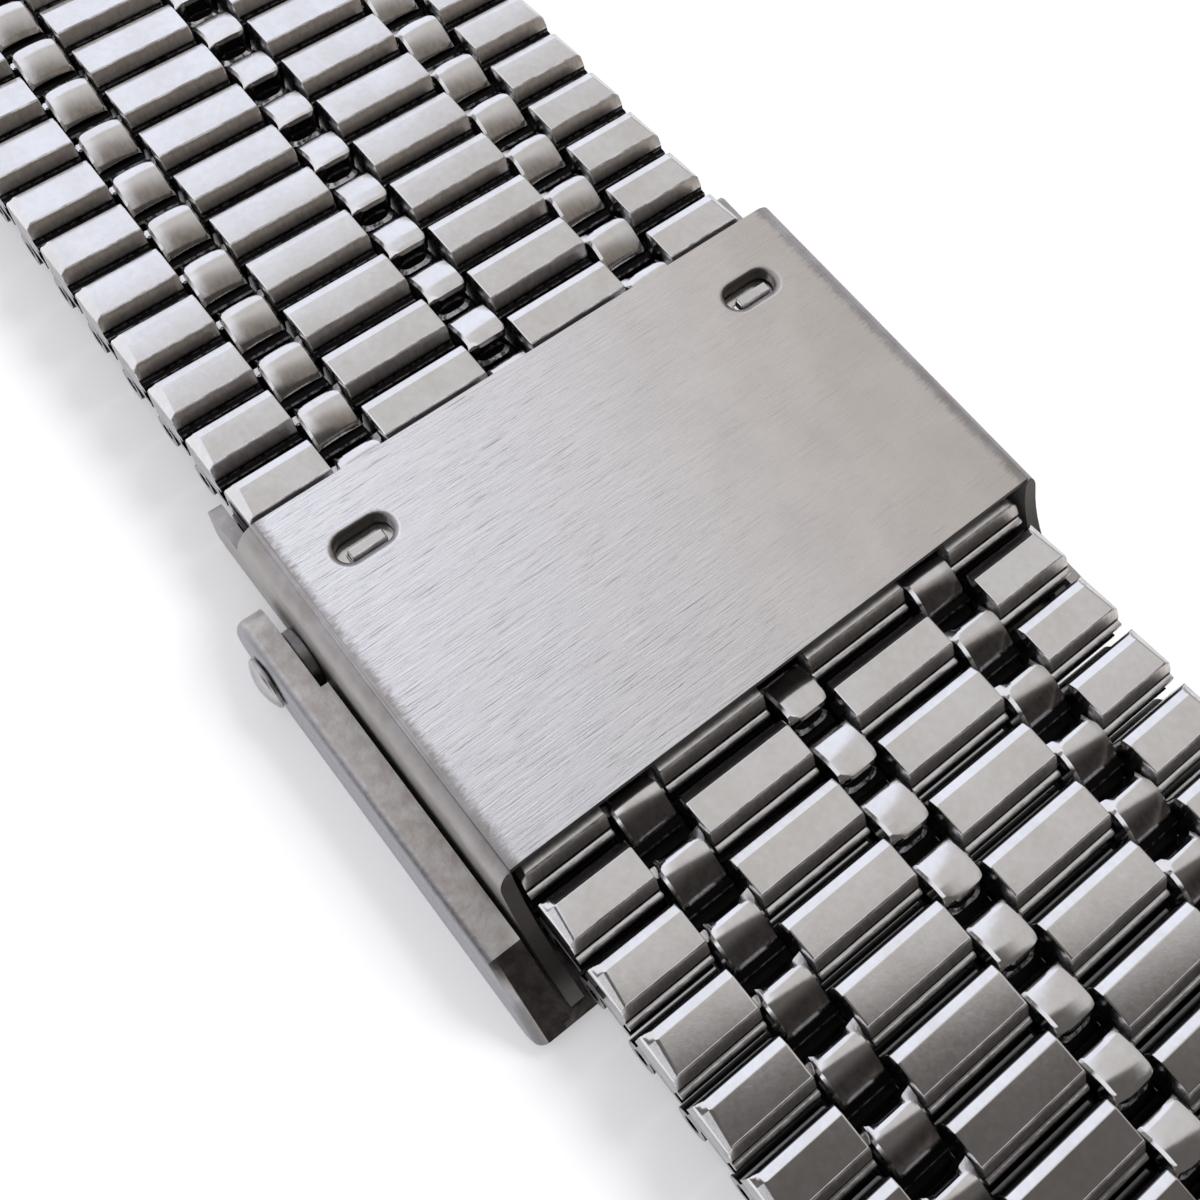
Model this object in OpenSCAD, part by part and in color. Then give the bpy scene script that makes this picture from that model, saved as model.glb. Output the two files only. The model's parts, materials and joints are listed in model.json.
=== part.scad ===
// Watch bracelet of folded steel links with a sliding box clasp, lying flat on a table.
// +X runs along the bracelet towards the half that slides in the clasp, +Z is up.

/* [Band] */
// Width of the band over its edge bars
band_w = 20.8; // [18:0.1:24]
// Thickness of the band, from the bar tops to the underside of the loops
band_t = 3.0; // [2.8:0.05:3.6]
// Distance from one cross wire to the next
pitch = 2.344; // [2.3:0.01:2.8]
// Rows between the clasp and the end link on the fixed half
far_rows = 21; // [8:1:21]
// Rows outside the clasp on the sliding half
near_rows = 20; // [8:1:20]
// Rows of the sliding half that lie in the clasp channel
clasp_rows = 5; // [4:1:5]
// Rows on each side that stay level with the clasp
level_rows = 8; // [0:1:8]
// Rows after those, over which the band comes down to the table
droop_rows = 8; // [5:1:10]

/* [Bars and beads] */
// Width of an edge bar
edge_bar_w = 3.2; // [2.6:0.1:3.6]
// Width of the channel that holds a side bead
side_gap = 2.1; // [1.8:0.1:2.4]
// Width of the channel that holds a centre bead
centre_gap = 1.9; // [1.6:0.1:2.2]
// Free space beside a bead
bead_side_clear = 0.17; // [0.15:0.01:0.35]
// Length of the flat and rounded top of a bar
bar_top_len = 1.49; // [1.4:0.01:1.5]
// Length of the bevel on the near side of a bar
bar_bevel_len = 0.3; // [0.2:0.01:0.35]
// Reach of the folded lip below the bevel
lip_len = 0.26; // [0.15:0.01:0.3]
// Length of the gentle slope on the far edge of a bar
bar_slope_len = 0.36; // [0.25:0.01:0.4]
// Fall of that slope
bar_slope_fall = 0.16; // [0.1:0.01:0.2]
// Radius of the far top edge of a bead
bead_edge_r = 0.38; // [0.2:0.01:0.4]
// Width of the sloped outer end of an edge bar
end_slope_w = 0.42; // [0.2:0.01:0.6]
// Distance from a cross wire back to the far edge of its bars
wire_setback = 0.45; // [0.4:0.01:0.5]
// Distance from a bar's far edge to the far edge of the side beads
side_bead_at = 1.15; // [1.1:0.01:1.2]
// Length of a side bead with its lip
side_bead_len = 1.88; // [1.6:0.01:1.9]
// Length of the square tab under a side bead's rounded corners
bead_tab_len = 0.35; // [0.3:0.01:0.45]
// Height of that tab
bead_tab_h = 0.75; // [0.62:0.01:0.85]
// Free space beside that tab
bead_tab_clear = 0.08; // [0.05:0.01:0.12]
// Distance from a bar's far edge to the far edge of the centre bead
centre_bead_at = 1.25; // [1.15:0.01:1.3]
// Length of a centre bead without its base
centre_bead_len = 1.62; // [1.4:0.01:1.65]
// Reach of the centre bead's base past its rounded end
centre_base_reach = 0.28; // [0.1:0.01:0.3]
// Plan radius of the rounded bead corners
bead_corner_r = 0.45; // [0.2:0.01:0.5]
// Rise of a bead's crown across its width
bead_crown = 0.1; // [0.05:0.01:0.2]

/* [Carrier and wires] */
// Thickness of the carrier sheet that joins the bars and beads of a row
carrier_t = 0.3; // [0.2:0.01:0.35]
// Diameter of a cross wire
wire_d = 0.56; // [0.45:0.01:0.6]
// Radial clearance of a wire in the loops that turn on it
wire_clear = 0.03; // [0.02:0.01:0.05]
// Radial clearance of a wire in the loops that hold it
wire_seat = 0.02; // [0.01:0.01:0.03]
// Wall of a loop
loop_wall = 0.29; // [0.2:0.01:0.32]
// Height of the neck between a loop and the carrier sheet
neck_h = 0.15; // [0.1:0.01:0.2]
// Clearance between the sheet under a bar and the next row's bar
sheet_end_clear = 0.2; // [0.15:0.01:0.3]
// Side clearance between neighbouring loops
loop_side_clear = 0.06; // [0.04:0.01:0.1]
// Gap between pieces that sit on each other
seat_gap = 0.02; // [0.01:0.01:0.03]

/* [Clasp cover] */
// Length of the cover's top plate
cover_len = 13.45; // [13:0.05:15]
// Sheet thickness of the cover
cover_t = 0.5; // [0.4:0.05:0.6]
// Outer radius of the bend between top and sides
shoulder_r = 0.8; // [0.6:0.05:1]
// Space between the band and the inside of the side walls
side_clear = 0.2; // [0.15:0.05:0.6]
// Space between the bar tops and the underside of the top plate
head_clear = 0.6; // [0.55:0.05:0.8]
// Reach of the side walls past the far edge of the top plate
wing_reach = 2.4; // [1.6:0.1:2.6]
// Distance from the top of the cover down to the top of those wings
wing_drop = 2.1; // [1.8:0.05:2.3]
// Reach of the side walls past the near edge of the top plate
near_reach = 3.8; // [2.5:0.1:4]
// Depth of the hollow in the near end of the side walls
near_hollow = 0.7; // [0.3:0.1:0.9]
// Length of a slot along the band
slot_len = 0.95; // [0.85:0.05:1.2]
// Width of a slot across the band
slot_w = 2.05; // [1.8:0.05:2.3]
// Width of the dished rim around a slot
slot_rim = 0.25; // [0.1:0.05:0.35]
// Distance from the far edge of the top plate to the slots
slot_inset = 1.95; // [1.8:0.05:2.1]
// Distance from the clasp's centre line to the middle of a slot
slot_offset = 8.0; // [7.8:0.05:8.3]
// Width of the anchor tab that stands in a slot
tab_w = 1.3; // [1:0.05:1.4]
// Distance from the far edge of the top plate in to the first cross wire
first_wire_in = 0.56; // [0.5:0.01:0.7]
// Distance from the near edge of the top plate in to a cross wire of the sliding half
slide_wire_in = 0.8; // [0.7:0.01:0.9]

/* [Lock plate] */
// Sheet thickness of the lock plate
lock_t = 0.6; // [0.5:0.05:0.7]
// Space between the loops and the lock plate
lock_gap = 0.2; // [0.15:0.01:0.3]
// Space between the cover's walls and the lock plate's walls
lock_side_gap = 0.45; // [0.35:0.05:0.5]
// Thickness of the lock plate's left wall
lock_wall_t = 1.05; // [0.8:0.05:1.2]
// Thickness of the lock plate's right wall
lock_rail_t = 0.5; // [0.4:0.05:0.6]
// Distance from the far edge of the top plate to the hinge pin
hinge_in = 3.3; // [3.2:0.05:3.4]
// Height of the hinge pin's axis above the table
hinge_up = 1.4; // [1.35:0.05:1.5]
// Diameter of the hinge pin
hinge_d = 1.0; // [0.8:0.05:1.1]
// Radial clearance of the hinge pin in the lock plate
hinge_clear = 0.05; // [0.03:0.01:0.08]
// Diameter of the hinge pin's heads
head_d = 1.9; // [1.6:0.1:2]
// Thickness of the hinge pin's heads
head_t = 0.4; // [0.3:0.05:0.5]
// Radius of the lug that holds the hinge pin
lug_r = 1.2; // [1.1:0.05:1.3]
// Reach of the lug past the hinge pin before it rounds off
lug_tail = 1.0; // [0.8:0.1:1.1]
// Height of the near part of the lock plate's right wall
lock_rail_h = 0.9; // [0.8:0.05:1.1]
// Distance from the near edge of the top plate back to the slope down to that height
lock_rail_in = 1.6; // [1:0.1:3]
// Reach of the thumb lip past the near end of the cover's walls
lip_reach = 0.4; // [0.3:0.05:0.6]
// Length of the slope on the near end of the lock plate's left wall
lock_slope = 2.75; // [2:0.05:3]
// Height of the rib that bears on the loops
rib_h = 0.12; // [0.08:0.01:0.13]

/* [End links] */
// Width of an end link's tube, which goes between the lugs of a watch
end_w = 20; // [18:1:22]
// Diameter of the bore for a spring bar
bar_bore_d = 1.8; // [1.5:0.1:2]

/* [Hidden] */
$fn = 48;
eps = 0.01;

// Section heights, measured from the axis of a cross wire
wire_r = wire_d / 2;
loop_r = wire_r + wire_clear + loop_wall;
sheet_z = loop_r + neck_h;
seat_z = sheet_z + carrier_t + seat_gap;
top_z = band_t - loop_r;
bar_h = top_z - seat_z;

// Places along a row, measured from its own cross wire
bar_x = -wire_setback;
bar_end_x = bar_x + bar_top_len + bar_bevel_len;
side_bead_x = bar_x + side_bead_at;
centre_bead_x = bar_x + centre_bead_at;
sheet_far_x = side_bead_x + 0.05;
sheet_near_x = pitch + bar_x - sheet_end_clear;
bead_end_x = side_bead_x + side_bead_len - pitch + 0.4;
loop_sheet_reach = loop_r / 2;
bevel_h = 0.45;
lip_t = 0.3;
lip_z = 0.45;
edge_ease = 0.06;
pad_step = 0.62;

// Columns across the band
half_w = band_w / 2;
wide_in = centre_gap / 2;
wide_out = half_w - edge_bar_w - side_gap;
bar_cols = [[-half_w, -half_w + edge_bar_w], [-wide_out, -wide_in],
            [wide_in, wide_out], [half_w - edge_bar_w, half_w]];
bead_cols = [[-half_w + edge_bar_w, -wide_out], [-wide_in, wide_in], [wide_out, half_w - edge_bar_w]];

// Clasp levels and places, measured from the table and from the cover's middle
lift = lock_t + lock_gap;
wire_z = lift + loop_r;
cover_in_z = lift + band_t + head_clear;
cover_top_z = cover_in_z + cover_t;
wall_foot_z = lock_t + 0.1;
cover_half = half_w + side_clear + cover_t;
lock_in_half = cover_half + lock_side_gap;
lock_left = lock_in_half + lock_wall_t;
lock_right = lock_in_half + lock_rail_t;
middle_y = (lock_right - lock_left) / 2;
far_edge = -cover_len / 2;
near_edge = cover_len / 2;
wing_z = cover_top_z - wing_drop;
first_wire_x = far_edge + first_wire_in;
slide_wire_x = near_edge - slide_wire_in;
hinge_x = far_edge + hinge_in;
hinge_z = hinge_up;
hinge_r = hinge_d / 2;
plate_far_x = hinge_x + 1.0;
foot_near_x = near_edge + near_reach;
lock_near_x = foot_near_x + lip_reach;

// End links
end_half = end_w / 2;
tube_r = band_t / 2;
tube_z = tube_r - loop_r;
far_tube_x = -0.9;
near_tube_x = bar_end_x + tube_r - 0.2;

// Level of the cross wires n rows away from the clasp: level at first, then a smooth ease to the table
function droop_share(n) = min(max(n - level_rows, 0) / droop_rows, 1);
function wire_level(n) = loop_r + lift * (1 + cos(180 * droop_share(n))) / 2;
function row_drop(n) = wire_level(n) - wire_level(n + 1);
function row_angle(n) = asin(row_drop(n) / pitch);
function row_run(n) = pitch * cos(row_angle(n));
function run_to(n) = n == 0 ? 0 : run_to(n - 1) + row_run(n - 1);

// The first rows of the sliding half stay in line in the clasp channel
free_wire_x = slide_wire_x + 2 * pitch;
far_end_x = first_wire_x - run_to(far_rows + 1) + far_tube_x - tube_r;
near_end_x = free_wire_x + run_to(near_rows) + near_tube_x + tube_r;
middle_x = (far_end_x + near_end_x) / 2;

function pad2(n) = n < 10 ? str("0", n) : str(n);
function far_name(i) = str("far_row_", pad2(i));
function near_name(i) = str("near_row_", pad2(i));

// A flat outline in X and Z, extruded from y0 to y1
module across(y0, y1) {
    translate([0, y1, 0]) rotate([90, 0, 0]) linear_extrude(y1 - y0) children();
}

// A flat outline in Y and Z, extruded from x0 to x1
module along(x0, x1) {
    translate([x0, 0, 0]) rotate([90, 0, 90]) linear_extrude(x1 - x0) children();
}

module rod(x, z, r, y0, y1) {
    across(y0, y1) translate([x, z]) circle(r);
}

// What a corner at the origin loses when it is rounded; the solid lies towards (sx, sy)
module corner_waste(r, sx, sy) {
    scale([sx, sy]) difference() {
        translate([-eps, -eps]) square(r + eps);
        translate([r, r]) circle(r);
    }
}

// A rectangle whose four corners have the radii [low-left, low-right, high-right, high-left]
module soft_rect(w, h, radii) {
    difference() {
        square([w, h]);
        if (radii[0] > 0) corner_waste(radii[0], 1, 1);
        if (radii[1] > 0) translate([w, 0]) mirror([1, 0]) corner_waste(radii[1], 1, 1);
        if (radii[2] > 0) translate([w, h]) rotate(180) corner_waste(radii[2], 1, 1);
        if (radii[3] > 0) translate([0, h]) mirror([0, 1]) corner_waste(radii[3], 1, 1);
    }
}

// A folded lip with a round nose
module lip_section(len) {
    square([len - lip_t / 2, lip_t]);
    translate([len - lip_t / 2, lip_t / 2]) circle(lip_t / 2);
}

module bar_section() {
    nose = 0.06;
    polygon([[0, 0], [0, bar_h - bar_slope_fall - 2 * nose], [nose / 3, bar_h - bar_slope_fall - nose],
             [nose, bar_h - bar_slope_fall], [bar_slope_len, bar_h], [bar_top_len, bar_h],
             [bar_top_len + bar_bevel_len, bar_h - bevel_h], [bar_top_len + bar_bevel_len, 0]]);
    translate([bar_top_len + bar_bevel_len - eps, lip_z]) lip_section(lip_len + eps);
}

// Ends of a bar seen along the band: a wide slope at the band's edge, a slight ease elsewhere
module bar_ends(y0, y1) {
    slope0 = y0 <= -half_w ? end_slope_w : edge_ease;
    slope1 = y1 >= half_w ? end_slope_w : edge_ease;
    fall = 0.8;
    polygon([[y0, -eps], [y0, bar_h - fall * slope0], [y0 + slope0, bar_h],
             [y1 - slope1, bar_h], [y1, bar_h - fall * slope1], [y1, -eps]]);
}

module bar(col) {
    translate([bar_x, 0, seat_z]) intersection() {
        across(col[0], col[1]) bar_section();
        along(-eps, bar_top_len + bar_bevel_len + lip_len + eps) bar_ends(col[0], col[1]);
    }
}

// Crown of a bead seen along the band
module crown_section(w) {
    crown_r = (w * w / 4 + bead_crown * bead_crown) / (2 * bead_crown);
    intersection() {
        translate([-w / 2, -eps]) square([w, bar_h + eps]);
        translate([0, bar_h - crown_r]) circle(crown_r, $fn = 96);
    }
}

module side_bead_section() {
    pad_len = side_bead_len - lip_t;
    flat_end = 0.55 * pad_len;
    difference() {
        polygon([[0, 0], [0, bar_h], [flat_end, bar_h], [0.85 * pad_len, bar_h - 0.22],
                 [pad_len, bar_h - 0.55], [pad_len, 0]]);
        translate([0, bar_h]) mirror([0, 1]) corner_waste(bead_edge_r, 1, 1);
    }
}

// A side bead: a crowned pad with round far corners, on a base with a near lip and a square far tab
module side_bead(col) {
    w = col[1] - col[0] - 2 * bead_side_clear;
    pad_len = side_bead_len - lip_t;
    translate([side_bead_x, (col[0] + col[1]) / 2, seat_z]) {
        intersection() {
            across(-w / 2, w / 2) side_bead_section();
            translate([0, -w / 2, -eps]) linear_extrude(bar_h + 2 * eps)
                soft_rect(pad_len, w, [bead_corner_r, 0, 0, bead_corner_r]);
            along(-eps, pad_len + eps) crown_section(w);
        }
        across(-w / 2, w / 2) soft_rect(pad_len, pad_step, [0, 0, 0, 0]);
        across(-w / 2, w / 2) translate([pad_len - eps, pad_step - lip_t]) lip_section(lip_t);
        across(bead_tab_clear - (col[1] - col[0]) / 2, (col[1] - col[0]) / 2 - bead_tab_clear)
            square([bead_tab_len, bead_tab_h]);
    }
}

// A centre bead: a crowned pad with round near corners, over a thin base that shows past them
module centre_bead(col) {
    w = col[1] - col[0] - 2 * bead_side_clear;
    base_len = centre_bead_len + centre_base_reach;
    translate([centre_bead_x, (col[0] + col[1]) / 2, seat_z]) {
        intersection() {
            across(-w / 2, w / 2)
                soft_rect(centre_bead_len, bar_h, [0, 0, bead_edge_r, bead_edge_r / 2]);
            translate([0, -w / 2, 0]) linear_extrude(bar_h)
                soft_rect(centre_bead_len, w, [0, bead_corner_r, bead_corner_r, 0]);
            along(-eps, centre_bead_len + eps) crown_section(w);
        }
        translate([0, -w / 2, 0]) linear_extrude(pad_step)
            soft_rect(base_len, w, [0, bead_corner_r, bead_corner_r, 0]);
    }
}

// Section of a loop with its neck and the sheet over it, about a wire at x
module loop_section(x, sheet_from, sheet_to, bore_r) {
    difference() {
        union() {
            translate([x, 0]) circle(loop_r);
            translate([x - loop_sheet_reach, 0]) square([2 * loop_sheet_reach, sheet_z + eps]);
            translate([sheet_from, sheet_z]) square([sheet_to - sheet_from, carrier_t]);
        }
        translate([x, 0]) circle(bore_r);
    }
}

// Loops under the bars hold a row's own wire
module held_loops() {
    for (col = bar_cols)
        across(col[0], col[1])
            loop_section(0, -loop_sheet_reach, sheet_far_x + eps, wire_r + wire_seat);
}

// Loops under the beads turn on the next row's wire
module turning_loops() {
    for (col = bead_cols)
        across(col[0] + loop_side_clear, col[1] - loop_side_clear)
            loop_section(pitch, bar_end_x - eps, pitch + loop_sheet_reach, wire_r + wire_clear);
}

// Sheet under the bars that closes most of the slit before the next row
module under_bars() {
    for (col = bar_cols)
        across(col[0], col[1]) translate([bar_end_x - eps, sheet_z])
            square([sheet_near_x - bar_end_x + eps, carrier_t]);
}

module cross_sheet(x0, x1) {
    across(-half_w, half_w) translate([x0, sheet_z]) square([x1 - x0, carrier_t]);
}

module wire() {
    color("silver") rod(0, 0, wire_r, -half_w + 0.1, half_w - 0.1);
}

module beads() {
    color("gainsboro") {
        side_bead(bead_cols[0]);
        centre_bead(bead_cols[1]);
        side_bead(bead_cols[2]);
    }
}

// One row: a carrier sheet with loops on both sides, four bars, three beads and its wire
module row() {
    color("darkgray") union() {
        held_loops();
        cross_sheet(sheet_far_x, bar_end_x);
        under_bars();
        turning_loops();
    }
    color("lightgray") for (col = bar_cols) bar(col);
    beads();
    wire();
}

// n counts rows from the clasp; the row's far wire is at its own origin
module place_far(n) {
    translate([first_wire_x - run_to(n), 0, wire_level(n)]) rotate([0, -row_angle(n - 1), 0]) children();
}

module place_near(n) {
    translate([free_wire_x + run_to(n), 0, wire_level(n)]) rotate([0, row_angle(n), 0]) children();
}

module far_row(i) {
    place_far(i) row();
}

// Rows 1 to clasp_rows lie in line in the clasp channel
module near_row(i) {
    if (i <= clasp_rows)
        translate([free_wire_x - (clasp_rows + 1 - i) * pitch, 0, wire_z]) row();
    else
        place_near(i - clasp_rows - 1) row();
}

// Section of an end link's body: the rolled tube and the fold over the carrier, up to x1
module fold_section(tube_x, x0, x1) {
    translate([tube_x, tube_z]) circle(tube_r);
    translate([x0, sheet_z]) square([x1 - x0, top_z - sheet_z]);
}

module tube_bore(tube_x) {
    rod(tube_x, tube_z, bar_bore_d / 2, -end_half - eps, end_half + eps);
}

// Far end link: turning loops on the last row's wire, beads, and a tube for a spring bar
module end_link_far() {
    color("lightgray") place_far(far_rows + 1) {
        difference() {
            union() {
                across(-end_half, end_half) fold_section(far_tube_x, far_tube_x, side_bead_x - 0.1);
                for (col = bar_cols)
                    across(col[0], col[1]) translate([side_bead_x - 0.1 - eps, sheet_z])
                        square([bar_end_x - side_bead_x + 0.1 + eps, top_z - sheet_z]);
                cross_sheet(side_bead_x - 0.1 - eps, bar_end_x);
                turning_loops();
            }
            tube_bore(far_tube_x);
        }
    }
    place_far(far_rows + 1) beads();
}

// Near end link: held loops with their wire, and a tube for a spring bar
module end_link_near() {
    color("lightgray") place_near(near_rows) {
        difference() {
            union() {
                held_loops();
                cross_sheet(sheet_far_x, bar_end_x);
                across(-end_half, end_half) fold_section(near_tube_x, bead_end_x, near_tube_x);
                for (col = bar_cols)
                    across(col[0], col[1]) translate([bar_x, sheet_z])
                        soft_rect(bead_end_x - bar_x + eps, top_z - sheet_z, [0, 0, 0, bead_edge_r]);
            }
            tube_bore(near_tube_x);
        }
    }
    place_near(near_rows) wire();
}

// A slot through the top plate, round at both ends, with a dished rim
module slot_cut() {
    r = slot_len / 2;
    dish = slot_rim / 2;
    translate([r, 0, 0]) {
        for (side = [-1, 1]) translate([0, side * (slot_w / 2 - r), 0]) {
            translate([0, 0, cover_in_z - 1]) cylinder(h = 3, r = r);
            translate([0, 0, cover_top_z - dish]) cylinder(h = 2 * dish, r1 = r, r2 = r + 2 * slot_rim);
        }
        across(-slot_w / 2 + r, slot_w / 2 - r) {
            translate([-r, cover_in_z - 1]) square([2 * r, 3]);
            polygon([[-r, cover_top_z - dish], [r, cover_top_z - dish],
                     [r + 2 * slot_rim, cover_top_z + dish], [-r - 2 * slot_rim, cover_top_z + dish]]);
        }
    }
}

// Side view of the cover's walls: wings on the far side, a long hollow slope on the near side
module wall_side() {
    far_x = far_edge - wing_reach;
    foot = [foot_near_x, wall_foot_z + 0.3];
    top = [near_edge, cover_top_z];
    slope = norm(foot - top);
    hollow_r = (slope * slope / 4 + near_hollow * near_hollow) / (2 * near_hollow);
    out = [top[1] - foot[1], foot[0] - top[0]] / slope;
    difference() {
        polygon([[far_edge, cover_top_z], top, foot,
                 [foot_near_x - 0.3, wall_foot_z], [far_x, wall_foot_z], [far_x, wing_z],
                 [far_edge - 0.55, wing_z], [far_edge, cover_in_z]]);
        translate([far_x, wing_z]) mirror([0, 1]) corner_waste(0.3, 1, 1);
        translate([far_x, wall_foot_z]) corner_waste(0.5, 1, 1);
        translate((foot + top) / 2 + (hollow_r - near_hollow) * out) circle(hollow_r, $fn = 96);
    }
}

module cover_section() {
    h = cover_top_z - wall_foot_z;
    translate([-cover_half, wall_foot_z]) difference() {
        soft_rect(2 * cover_half, h, [0, 0, shoulder_r, shoulder_r]);
        translate([cover_t, -eps])
            soft_rect(2 * (cover_half - cover_t), h - cover_t + eps,
                      [0, 0, shoulder_r - cover_t, shoulder_r - cover_t]);
    }
}

module cover() {
    far_x = far_edge - wing_reach;
    color("lightsteelblue") difference() {
        union() {
            along(far_edge, near_edge) cover_section();
            intersection() {
                along(far_x, foot_near_x) difference() {
                    cover_section();
                    translate([cover_t - cover_half, 0]) square([2 * (cover_half - cover_t), cover_top_z + 1]);
                }
                across(-cover_half - eps, cover_half + eps) wall_side();
            }
        }
        for (side = [-1, 1]) translate([far_edge + slot_inset, side * slot_offset, 0]) slot_cut();
        rod(hinge_x, hinge_z, hinge_r + wire_seat, -cover_half - 1, cover_half + 1);
    }
}

// Anchor link: holds the first wire of the fixed half, with two tabs that stand in the cover's slots
module anchor_link() {
    block_top = cover_in_z - wire_z - 0.1;
    tab_end = slot_inset + slot_len - first_wire_in - 0.08;
    tab_top = cover_top_z - wire_z - 0.12;
    color("silver") translate([first_wire_x, 0, wire_z]) difference() {
        union() {
            held_loops();
            cross_sheet(sheet_far_x, tab_end + 0.4);
            across(-half_w, half_w) translate([-loop_sheet_reach, sheet_z])
                soft_rect(tab_end + 0.4 + loop_sheet_reach, block_top - sheet_z, [0, 0, 0.2, 0.3]);
            for (side = [-1, 1])
                across(side * slot_offset - tab_w / 2, side * slot_offset + tab_w / 2)
                    translate([tab_end - 0.42, block_top - 0.3])
                        soft_rect(0.42, tab_top - block_top + 0.3, [0, 0, 0.12, 0.05]);
        }
        for (col = bead_cols)
            across(col[0], col[1]) translate([-2, -2]) square([bead_end_x + 2, block_top + 3]);
    }
    translate([first_wire_x, 0, wire_z]) wire();
}

// Side view of the lock plate's walls: a long lug on the hinge, then the top outline given
module lock_side(top) {
    lug_x = hinge_x - lug_tail;
    difference() {
        union() {
            translate([lug_x, hinge_z]) circle(lug_r);
            polygon(concat([[lug_x, hinge_z - lug_r], [plate_far_x, 0], [lock_near_x - 0.25, 0],
                            [lock_near_x, lock_t]], top, [[lug_x, hinge_z + lug_r]]));
        }
        translate([hinge_x, hinge_z]) circle(hinge_r + hinge_clear);
    }
}

// Lock plate: a channel outside the cover's walls, with a rib that bears on the loops
module lock_plate() {
    rib_x = slide_wire_x - 1.5 * pitch;
    wall_top = hinge_z + lug_r;
    rail_x = near_edge - lock_rail_in;
    color("gray") {
        across(-lock_left, -lock_in_half)
            lock_side([[lock_near_x - lock_slope, wall_top]]);
        across(lock_in_half, lock_right)
            lock_side([[lock_near_x - 0.6, lock_rail_h], [rail_x + 1.5, lock_rail_h], [rail_x, wall_top]]);
        translate([plate_far_x, -lock_in_half - eps, 0])
            cube([lock_near_x - 0.25 - plate_far_x, 2 * lock_in_half + 2 * eps, lock_t]);
        across(-lock_in_half - eps, lock_in_half + eps)
            polygon([[lock_near_x - 0.25 - eps, 0], [lock_near_x - 0.25, 0], [lock_near_x, lock_t],
                     [lock_near_x - 0.25 - eps, lock_t]]);
        translate([rib_x - 0.4, -half_w, lock_t - eps]) cube([0.8, band_w, rib_h + eps]);
    }
}

// Hinge pin through both walls, with domed heads
module lock_pin() {
    color("silver") {
        rod(hinge_x, hinge_z, hinge_r, -lock_left - 0.06, lock_right + 0.06);
        for (side = [-1, 1])
            translate([hinge_x, side > 0 ? lock_right + 0.05 : -lock_left - 0.05, hinge_z])
                rotate([-side * 90, 0, 0])
                rotate_extrude() intersection() {
                    square([head_d / 2, head_t]);
                    translate([0, head_t - head_d]) circle(head_d);
                }
    }
}

module lock_washers() {
    gap = 0.05;
    color("gainsboro") for (side = [-1, 1]) {
        y0 = side > 0 ? cover_half + gap : -lock_in_half + gap;
        difference() {
            rod(hinge_x, hinge_z, head_d / 2 + 0.15, y0, y0 + lock_side_gap - 2 * gap);
            rod(hinge_x, hinge_z, hinge_r + wire_seat, y0 - 1, y0 + 1);
        }
    }
}

translate([-middle_x, -middle_y, 0]) {
    cover();
    anchor_link();
    lock_plate();
    lock_pin();
    lock_washers();
    for (i = [1:far_rows])
        far_row(i);
    for (i = [1:clasp_rows + near_rows])
        near_row(i);
    end_link_far();
    end_link_near();
}
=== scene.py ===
import json
import math

import bmesh
import bpy
from mathutils import Euler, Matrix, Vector

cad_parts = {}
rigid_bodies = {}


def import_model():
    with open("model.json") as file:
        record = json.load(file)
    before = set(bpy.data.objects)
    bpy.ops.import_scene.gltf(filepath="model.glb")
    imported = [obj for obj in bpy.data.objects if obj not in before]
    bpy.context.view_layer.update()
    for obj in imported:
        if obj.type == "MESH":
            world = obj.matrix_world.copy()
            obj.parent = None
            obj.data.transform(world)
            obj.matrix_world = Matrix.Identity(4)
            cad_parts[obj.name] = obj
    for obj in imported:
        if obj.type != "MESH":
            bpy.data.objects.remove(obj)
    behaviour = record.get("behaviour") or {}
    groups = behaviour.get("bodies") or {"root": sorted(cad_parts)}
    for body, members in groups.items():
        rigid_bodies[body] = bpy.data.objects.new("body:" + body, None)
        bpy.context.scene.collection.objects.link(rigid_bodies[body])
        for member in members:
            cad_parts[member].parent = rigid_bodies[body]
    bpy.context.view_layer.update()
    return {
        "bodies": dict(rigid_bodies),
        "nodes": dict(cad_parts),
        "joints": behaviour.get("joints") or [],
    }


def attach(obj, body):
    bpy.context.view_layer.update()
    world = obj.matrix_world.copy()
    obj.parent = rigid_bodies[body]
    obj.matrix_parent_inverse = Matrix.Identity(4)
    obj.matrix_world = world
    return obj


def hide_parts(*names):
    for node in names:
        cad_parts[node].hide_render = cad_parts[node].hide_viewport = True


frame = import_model()

MM = 0.001
JOINTS = {j["name"]: j for j in frame["joints"]}

# Sizes of a row in millimetres, measured from its own cross wire
PITCH = 2.344
HALF_W = 10.4
TOP_Z = 2.40
SEAT_Z = 1.07
EDGE_BAR_W = 3.2
SIDE_GAP = 2.1
CENTRE_GAP = 1.9
WIDE_IN = CENTRE_GAP / 2
WIDE_OUT = HALF_W - EDGE_BAR_W - SIDE_GAP
SIDE_BEAD_Y = WIDE_OUT + SIDE_GAP / 2

# A bar: flat top, far slope, near bevel, folded lip and the edge bars' sloped outer end
BAR_H = TOP_Z - SEAT_Z
BAR_X = -0.45
BAR_TOP_LEN = 1.49
BAR_BEVEL_LEN = 0.30
BAR_BEVEL_H = 0.45
BAR_EASE = 0.05
SLOPE_LEN = 0.36
SLOPE_FALL = 0.16
SLOPE_FALL_FAR_ROWS = 0.10
LIP_LEN = 0.26
LIP_T = 0.30
LIP_Z = 0.45
LIP_NOSE_R = 0.09
END_SLOPE = 0.42
END_TAPER = 0.22

# How much of the lip, from its foot, is painted black as shade in the fold; more on the far rows
CREASE = 0.06
CREASE_FAR_ROWS = 0.30

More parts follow.
